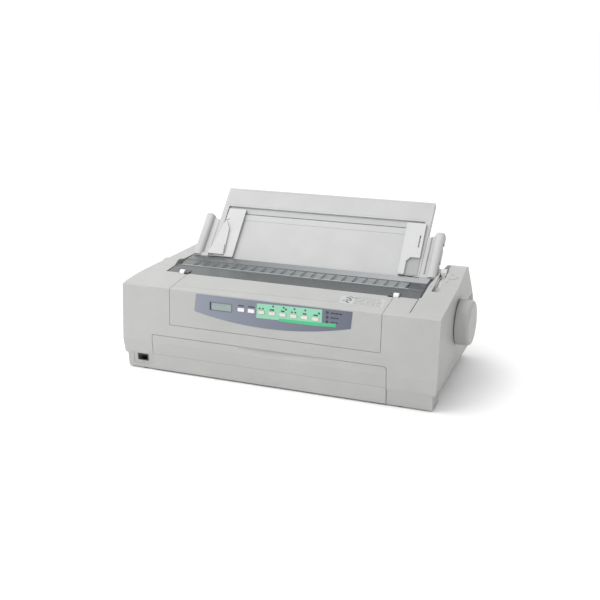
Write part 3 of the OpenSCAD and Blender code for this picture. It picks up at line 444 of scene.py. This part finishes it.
def circle(cx, cy, r, seg=24):
    return [(cx + r * math.cos(2 * math.pi * i / seg), cy + r * math.sin(2 * math.pi * i / seg)) for i in range(seg)]


def merge(parts):
    verts, faces = [], []
    for v, f in parts:
        k = len(verts)
        verts += list(v)
        faces += [tuple(i + k for i in q) for q in f]
    return verts, faces


def prism(poly, x0, x1, to):
    """(y, z) outline drawn out along x; to(x, y, z) gives the place."""
    k = len(poly)
    verts = [to(x0, a, b) for a, b in poly] + [to(x1, a, b) for a, b in poly]
    faces = [tuple(range(k)), tuple(range(2 * k - 1, k - 1, -1))]
    for i in range(k):
        j = (i + 1) % k
        faces.append((i, i + k, j + k, j))
    return verts, faces


# ------------------------------------------------------------------ panel print
KEY_X = [-17.5 + 18.96 * i for i in range(6)]
MENU_X = [-54.0, -35.6]
KEY_S = 76.8


def panel_holes(g=0.35):
    holes = [rrect(x - 5.6 - g, x + 5.6 + g, KEY_S - 2.9 - g, KEY_S + 2.9 + g, 0.8) for x in KEY_X]
    holes += [circle(3.3 + 18.7 * i, 88.9, 1.3 + g) for i in range(4)]
    return holes


mint_out = [(-26.2, 66.6), (-25.4, 91.0), (88.2, 93.6), (87.9, 71.0), (60, 69.4), (30, 68.0), (0, 67.0)]
put("print_mint_field", *sheet_mesh([mint_out] + panel_holes(), on_panel, 0.41, 0.47), MINT, "case", "label", smooth=False)
green_out = [(12.6, 67.4), (14.4, 70.2), (40, 70.6), (80, 71.6), (112.8, 73.2), (111.0, 67.4), (80, 65.9), (45, 65.4), (14, 65.6)]
put("print_green_band", *sheet_mesh([green_out], on_panel, 0.42, 0.50), GREEN, "case", "label", smooth=False)

# small generic marks: bars and dots over the keys, dark bars beside the lamps
bars = []
for i, x in enumerate(KEY_X):
    w = (3.0, 8.0, 6.0, 3.0, 6.5, 7.5)[i]
    if i in (0, 3):
        for dx in (-3.0, 3.0):
            bars.append(sheet_mesh([rrect(x + dx - 1.4, x + dx + 1.4, KEY_S + 5.2, KEY_S + 7.6, 0.5, 3)], on_panel, 0.45, 0.53))
    else:
        bars.append(sheet_mesh([rrect(x - w / 2, x + w / 2, KEY_S + 5.0, KEY_S + 7.3, 0.5, 3)], on_panel, 0.45, 0.53))
    if i in (2, 5):
        bars.append(sheet_mesh([circle(x + 5.6, KEY_S + 9.8, 1.7, 16)], on_panel, 0.45, 0.53))
put("print_key_marks", *merge(bars), INK_GREEN, "case", "label", smooth=False)
bars = []
for x, w in zip(MENU_X, (10.5, 12.0)):
    bars.append(sheet_mesh([rrect(x - w / 2, x + w / 2, KEY_S + 6.0, KEY_S + 7.8, 0.5, 3)], on_panel, 0.41, 0.47))
put("print_menu_marks", *merge(bars), INK, "case", "label", smooth=False)
bars = []
for i in range(3):
    s = 74.3 + 7.6 * i
    w = (13, 14, 20)[i]
    for k in range(3):
        x0 = 103 + k * w / 3
        bars.append(sheet_mesh([rrect(x0, x0 + w / 3 - 1.2, s - 1.1, s + 1.1, 0.5, 3)], on_panel, 0.41, 0.47))
put("print_lamp_marks", *merge(bars), INK, "case", "label", smooth=False)

# frame of the lcd, with painted shade on its dark left edge
lcd = [rrect(-112.4, -70.0, 69.2, 85.0, 1.4), rrect(-109.0, -71.6, 70.9, 83.3, 0.8)]
put("lcd_bezel", *sheet_mesh(lcd, on_panel, 0.38, 0.75), LABEL, "case", "label", smooth=False, bevel=0.12)
put("lcd_outline", *sheet_mesh([rrect(-109.6, -71.0, 70.3, 83.9, 1.0), rrect(-109.0, -71.6, 70.9, 83.3, 0.7)], on_panel, 0.42, 0.80), INK, "case", "lcd", smooth=False)
put("lcd_shade", *sheet_mesh([rrect(-111.2, -108.8, 70.3, 84.0, 0.5)], on_panel, 0.4, 0.9), BLACK, "case", "lcd", smooth=False)
bars = []
for r in range(2):
    for k in range(12):
        x0 = -106.0 + k * 2.85
        bars.append(sheet_mesh([rrect(x0, x0 + 2.1, 72.9 + 5.1 * r, 76.5 + 5.1 * r, 0.2, 2)], on_panel, 0.01, 0.05))
LCD_CELL = plastic("lcd_cell", rgb(138, 152, 149), rough=0.3, tint=0.03, grain=800, bump=0.003)
put("lcd_cells", *merge(bars), LCD_CELL, "case", "lcd", smooth=False)


STRIP_FILM = plastic("strip_film", rgb(177, 178, 176), rough=0.3, tint=0.03, grain=1200, bump=0.004)
# darker tone used as painted shade along folds and on embossed marks
SHADE_LINE = plastic("painted_shade_line", rgb(146, 143, 137), rough=0.5, tint=0.03, grain=900, bump=0.01)
# a little darker than the guide: painted shade in the channel
CHANNEL_SHADE = plastic("channel_painted_shade", rgb(172, 174, 173), rough=0.5, tint=0.03, grain=900, bump=0.02)
# darker grey used as painted shade in the pocket of the right edge guide
POCKET_SHADE = plastic("pocket_painted_shade", rgb(156, 157, 157), rough=0.5, tint=0.03, grain=900, bump=0.02)


# ------------------------------------------------------------------ bare instruction film on the strip
def on_strip(x, y, n=0.0):
    """the slope behind the crease of the strip: (20, 153.5) to (74.6, 160.5)"""
    a = math.atan2(7.0, 54.6)
    return row(x, y - n * math.sin(a), 153.5 + (y - 20) * math.tan(a) + n * math.cos(a))


lines = []
for i in range(6):
    y = 31.6 + 4.9 * i
    xa = 131.0 - 0.5 * i
    for k, w in enumerate(((9, 6, 12, 5, 8), (6, 11, 7, 8, 7), (12, 5, 9, 6, 9), (7, 9, 6, 10, 7), (10, 7, 11, 4, 6), (8, 12, 5, 6, 5))[i]):
        lines.append(sheet_mesh([rrect(xa, xa + w, y, y + 1.35, 0.3, 2)], on_strip, 0.06, 0.10))
        xa += w + 1.3
put("film_thin_lines", *merge(lines), plastic("faint_print", rgb(112, 115, 114), rough=0.5, tint=0.05, grain=1400, bump=0.006), "case", "label", smooth=False)
film = [(103.5, 55.0), (108.0, 30.0), (181.0, 29.5), (178.0, 60.0), (113.0, 58.6)]
put("strip_film", *sheet_mesh([film], on_strip, 0.022, 0.055), STRIP_FILM, "case", "label", smooth=False)
marks = []
for x, y, w, h in ((113.0, 50.6, 5.0, 2.4), (119.0, 46.6, 2.9, 4.6), (115.0, 42.0, 6.4, 2.2), (122.2, 41.0, 2.8, 5.4), (111.6, 37.6, 3.6, 2.2),
                   (117.0, 35.0, 3.6, 4.4), (121.2, 32.0, 2.4, 3.2), (121.6, 52.2, 9.0, 1.8), (116.2, 55.2, 6.4, 1.4)):
    marks.append(sheet_mesh([rrect(x, x + w, y, y + h, 0.4, 2)], on_strip, 0.05, 0.11))
put("film_dark_marks", *merge(marks), INK, "case", "label", smooth=False)
# painted shade along the faint fold of the strip, left of the film
fold = [(-187.2, 20.8), (103.6, 30.0), (103.6, 30.9), (-187.2, 21.7)]
put("strip_fold_shade", *sheet_mesh([fold], on_strip, -0.02, 0.05), SHADE_LINE, "case", "case_plastic", smooth=False)


# ------------------------------------------------------------------ painted shade on the front fold, in the shoulder groove and on small embossed marks
TB = math.tan(math.radians(4.4))


def on_front(x, z, n=0.0):
    """place on the lower front, which falls back below the crease"""
    y = (CREASE - z) * TB
    a = math.atan(TB)
    return row(x, y - n * math.cos(a), z - n * math.sin(a))


# painted shade along the fold of the lower front
put("front_fold_shade", *sheet_mesh([[(-221.0, 31.1), (-221.0, 31.9), (197.4, 31.9), (197.4, 31.1)]], on_front, -0.02, 0.03), SHADE_LINE, "front_cover_body", "case_plastic", smooth=False)


def on_housing(x, y, n=0.0):
    """top of the right shoulder and housing, as a side view outline"""
    outline = [(10.0, 153.4), (85.6, 164.3), (131.4, 170.6), (184.0, 186.8)]
    for (ya, za), (yb, zb) in zip(outline, outline[1:]):
        if y <= yb:
            break
    return row(x, y, za + (y - ya) * (zb - za) / (yb - ya) + n)


# painted shade: a dark strip in the groove at the left edge of the right shoulder
gap = [(227.7, 20.0), (227.7, 74.4), (229.0, 74.4), (228.9, 20.0)]
put("shoulder_groove_painted_shade", *sheet_mesh([gap], on_housing, -0.25, 0.05), GROOVE_SHADE, "case", "case_plastic", smooth=False)


def small_mark(x, y, w, h, a=0.0):
    c, d = math.cos(a), math.sin(a)
    return [(x + c * u - d * v, y + d * u + c * v) for u, v in ((-w, -h), (w, -h), (w, h), (-w, h))]


# embossed marks near the lever, coloured darker as painted shade
marks = [sheet_mesh([small_mark(*q)], on_housing, -0.05, 0.22) for q in (
    (262.5, 164.0, 2.2, 1.3, 0.5), (259.6, 151.5, 0.9, 2.6, 0.2), (264.2, 151.2, 2.4, 0.8, 0.7),
    (272.0, 156.5, 0.8, 3.0, 0.5), (269.0, 153.5, 0.8, 3.0, -0.6), (257.8, 142.5, 2.6, 0.7, 0.9))]
put("housing_small_marks", *merge(marks), SHADE_LINE, "case", "case_plastic", smooth=False)


# ------------------------------------------------------------------ sheet guide detail
band = [(-194.0, 113.4), (194.0, 113.4), (194.0, 146.4), (-194.0, 146.4)]
put("guide_band_face", *sheet_mesh([band], on_guide, -0.55, 0.03), GUIDEM, "sheet_guide_body", "guide_plastic", smooth=False)
ribs = []
for i in range(114):
    x = -192.4 + 3.41 * i
    ribs.append(prism([(114.0, 0.0), (114.3, 0.13), (146.0, 0.13), (146.2, 0.0)], x, x + 1.1, on_guide))
put("guide_band_ribs", *merge(ribs), GUIDEM, "sheet_guide_body", "guide_plastic", smooth=False)
# channel floor under the ribbed band, coloured as painted shade of the recess
put("guide_channel_floor", *prism([(97.2, -4.0), (97.6, -3.3), (109.9, -3.3), (110.4, -4.0)], -189.8, 189.8, on_guide), CHANNEL_SHADE, "sheet_guide_body", "guide_plastic", smooth=False)
# painted shade: a darker plate in the pocket of the right edge guide
pocket = [(175.2, 2.4), (174.3, 26.6), (180.3, 34.3), (195.4, 34.3), (196.1, 2.4)]
put("edge_pocket_painted_shade", *sheet_mesh([pocket], on_guide, 1.3, 1.62), POCKET_SHADE, "edge_right_body", "guide_plastic", smooth=False)

# ------------------------------------------------------------------ smoked cover detail
def on_cover(x, y, z):
    return row(x, y, z)


# each rib: painted shadow on its left side, painted highlight on its right side
parts = []
RIB_X = [-197 + 18.7 * i for i in range(22)]
for x in RIB_X:
    parts.append(prism([(114.2, 162.9), (114.2, 165.3), (117.0, 165.45), (146.0, 165.5), (147.8, 165.0), (146.6, 164.4), (115.0, 162.8)], x - 1.5, x - 0.62, on_cover))
put("cover_rib_shadow_sides", *merge(parts), SMOKE_RIB_SHADOW, "smoked_cover_body", "smoked", smooth=False)
parts = []
for x in RIB_X[:-1]:
    parts.append(prism([(115.0, 163.3), (115.6, 164.6), (146.4, 165.35), (146.6, 164.6)], x + 0.62, x + 1.25, on_cover))
put("cover_rib_painted_highlight_sides", *merge(parts), SMOKE_HIGHLIGHT, "smoked_cover_body", "smoked", smooth=False)
parts = []
for a, b in zip(RIB_X, RIB_X[1:]):
    parts.append(prism([(115.0, 163.05), (146.0, 164.68), (146.2, 164.5), (115.0, 162.9)], a + 0.65, b - 2.0, on_cover))
# valley panels and rear band carry the painted sheen
put("cover_valley_panels", *merge(parts), SMOKE_PANEL_SHEEN, "smoked_cover_body", "smoked", smooth=False)
# painted highlight along the ridge of the cover
put("cover_ridge_painted_highlight", *prism([(111.7, 164.75), (112.1, 165.2), (113.5, 165.2), (113.8, 164.75)], -219, 201, on_cover), SMOKE_HIGHLIGHT, "smoked_cover_body", "smoked", smooth=False)
put("cover_rear_band", *prism([(149.0, 165.42), (174.9, 166.58), (174.9, 166.35), (149.0, 165.2)], -226, 226, on_cover), SMOKE_BACK_SHEEN, "smoked_cover_body", "smoked", smooth=False)

# painted shadow: a black strip along the cover's edge beside the tall housing
edge = [(76.2, 160.47, 227.0), (110.5, 163.8, 225.6), (112.0, 165.1, 225.4), (113.6, 165.1, 225.3), (114.6, 163.0, 224.6),
        (146.0, 164.6, 222.6), (149.0, 165.4, 222.4), (174.8, 166.49, 222.8)]
parts = []
for (ya, za, xa), (yb, zb, xb) in zip(edge, edge[1:]):
    v = [on_cover(xa, ya, za + 0.15), on_cover(228.7, ya, za + 0.15), on_cover(228.7, yb, zb + 0.15), on_cover(xb, yb, zb + 0.15),
         on_cover(xa, ya, za - 0.2), on_cover(228.7, ya, za - 0.2), on_cover(228.7, yb, zb - 0.2), on_cover(xb, yb, zb - 0.2)]
    parts.append((v, [(0, 1, 2, 3), (7, 6, 5, 4), (0, 4, 5, 1), (1, 5, 6, 2), (2, 6, 7, 3), (3, 7, 4, 0)]))
put("cover_right_edge_painted_shadow", *merge(parts), BLACK, "smoked_cover_body", "smoked", smooth=False)
# seats that close the foot of each edge guide
put("edge_foot_right", *prism([(0.5, -2.0), (0.5, 4.2), (2.3, 4.6), (2.3, -2.0)], 164.0, 174.2, on_guide), EDGE, "edge_right_body", "guide_plastic", smooth=False)
# foot under the pocket, in the same painted shade
put("edge_foot_pocket_shade", *prism([(0.5, -2.0), (0.5, 1.2), (2.3, 1.5), (2.3, -2.0)], 174.2, 189.8, on_guide), POCKET_SHADE, "edge_right_body", "guide_plastic", smooth=False)
put("edge_foot_left", *prism([(0.5, -2.0), (0.5, 2.2), (2.3, 2.5), (2.3, -2.0)], -189.6, -151.2, on_guide), EDGE, "edge_left_body", "guide_plastic", smooth=False)

# curved shutter under the lever's slot; it turns with the lever
arc = [(158 + 48.0 * math.sin(math.radians(a)), 124 + 48.0 * math.cos(math.radians(a))) for a in range(-60, 43, 6)]
arc += [(158 + 46.6 * math.sin(math.radians(a)), 124 + 46.6 * math.cos(math.radians(a))) for a in range(42, -61, -6)]
put("lever_shutter", *prism(arc, 241.2, 251.8, on_cover), EDGE, "release_lever_body", "guide_plastic", smooth=False)

# ------------------------------------------------------------------ stage, light, camera
floor_me = bpy.data.meshes.new("floor")
floor_me.from_pydata([(-90, -90, 0), (90, -90, 0), (90, 90, 0), (-90, 90, 0)], [], [(0, 1, 2, 3)])
floor = bpy.data.objects.new("floor", floor_me)
bpy.context.scene.collection.objects.link(floor)
FLOOR = plastic("floor_white", (0.97, 0.97, 0.97, 1), rough=0.9, tint=0.004, grain=5, bump=0.0)
floor_me.materials.append(FLOOR)
floor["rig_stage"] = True

world = bpy.data.worlds.new("studio")
bpy.context.scene.world = world
world.use_nodes = True
bg = world.node_tree.nodes["Background"]
bg.inputs["Color"].default_value = (1, 1, 1, 1)
wn = world.node_tree
tcw = wn.nodes.new("ShaderNodeTexCoord")
sxw = wn.nodes.new("ShaderNodeSeparateXYZ")
mrw = wn.nodes.new("ShaderNodeMapRange")
mrw.inputs["From Min"].default_value = -0.25
mrw.inputs["From Max"].default_value = 0.8
mrw.inputs["To Min"].default_value = 1.35
mrw.inputs["To Max"].default_value = 0.60
wn.links.new(tcw.outputs["Generated"], sxw.inputs["Vector"])
wn.links.new(sxw.outputs["X"], mrw.inputs["Value"])
wn.links.new(mrw.outputs["Result"], bg.inputs["Strength"])


def area(name, at, to, size, power, color=(1, 1, 1)):
    la = bpy.data.lights.new(name, "AREA")
    la.shape = "RECTANGLE"
    la.size, la.size_y = size
    la.energy = power
    la.color = color
    o = bpy.data.objects.new(name, la)
    bpy.context.scene.collection.objects.link(o)
    o.location = at
    o.rotation_euler = (Vector(to) - Vector(at)).to_track_quat("-Z", "Y").to_euler()
    return o


area("key_top", (-0.6, -0.4, 1.9), (0, 0, 0.1), (1.5, 1.2), 16)
area("fill_left", (-1.0, -0.75, 0.5), (-0.15, 0, 0.1), (0.6, 0.6), 2.0)

cam_data = bpy.data.cameras.new("camera")
cam = bpy.data.objects.new("camera", cam_data)
bpy.context.scene.collection.objects.link(cam)
cam_data.sensor_width = 36.0
cam_data.lens = 927.61 * 36.0 / 600.0
cam_data.clip_start = 0.05
cam_data.clip_end = 30
pos = row(566.32, -1314.40, 602.94 + 2.5)
cam.location = pos
az, el = math.radians(21.34), math.radians(17.47)
fwd = Vector((-math.sin(az) * math.cos(el), math.cos(az) * math.cos(el), -math.sin(el)))
cam.rotation_euler = fwd.to_track_quat("-Z", "Y").to_euler()
bpy.context.scene.camera = cam
sc = bpy.context.scene
sc.view_settings.view_transform = "Standard"
sc.view_settings.look = "None"
sc.view_settings.exposure = -0.09

bounds_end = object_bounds()


def plain(b):
    if isinstance(b, dict):
        return {k: plain(v) for k, v in b.items()}
    if isinstance(b, (str, int, float)) or b is None:
        return b
    return [plain(v) for v in b]


{"cad": plain(bounds_start), "visual": plain(bounds_end)}
